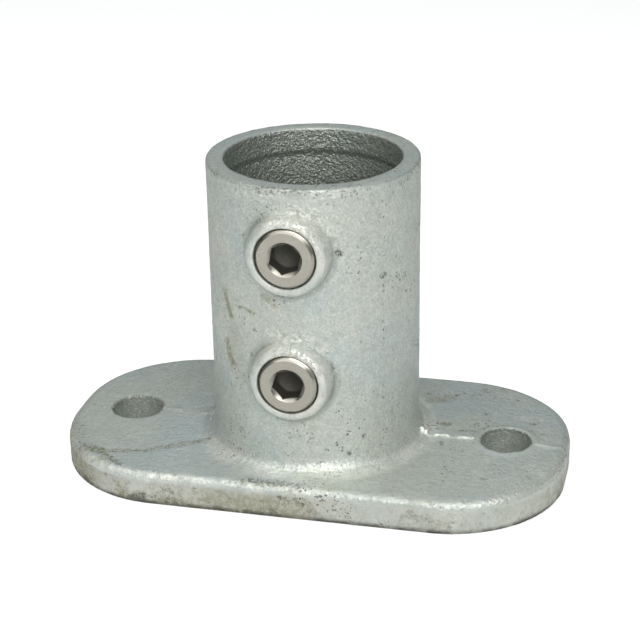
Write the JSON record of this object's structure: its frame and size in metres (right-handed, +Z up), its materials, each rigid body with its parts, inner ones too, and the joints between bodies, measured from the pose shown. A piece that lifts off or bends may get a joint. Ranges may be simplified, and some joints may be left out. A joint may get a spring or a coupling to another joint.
{
  "type": "tube clamp base flange",
  "caption": "Oblong cast base plate with an upright open sleeve that holds a round tube, clamped by set screws in raised bosses on its front.",
  "frame": {"origin": "middle of the plate's underside, on the sleeve's axis", "axes": "+Z up the sleeve, +X along the plate through the fixing holes, the bosses face -Y"},
  "size_m": [0.1484, 0.079, 0.0942],
  "materials": {
    "galvanised_iron": "hot-dip galvanised, satin, lightly stained",
    "screw_steel": "plated, satin"
  },
  "bodies": {
    "root": {"flange_casting": "galvanised_iron", "lower_set_screw": "screw_steel", "upper_set_screw": "screw_steel"}
  },
  "joints": []
}
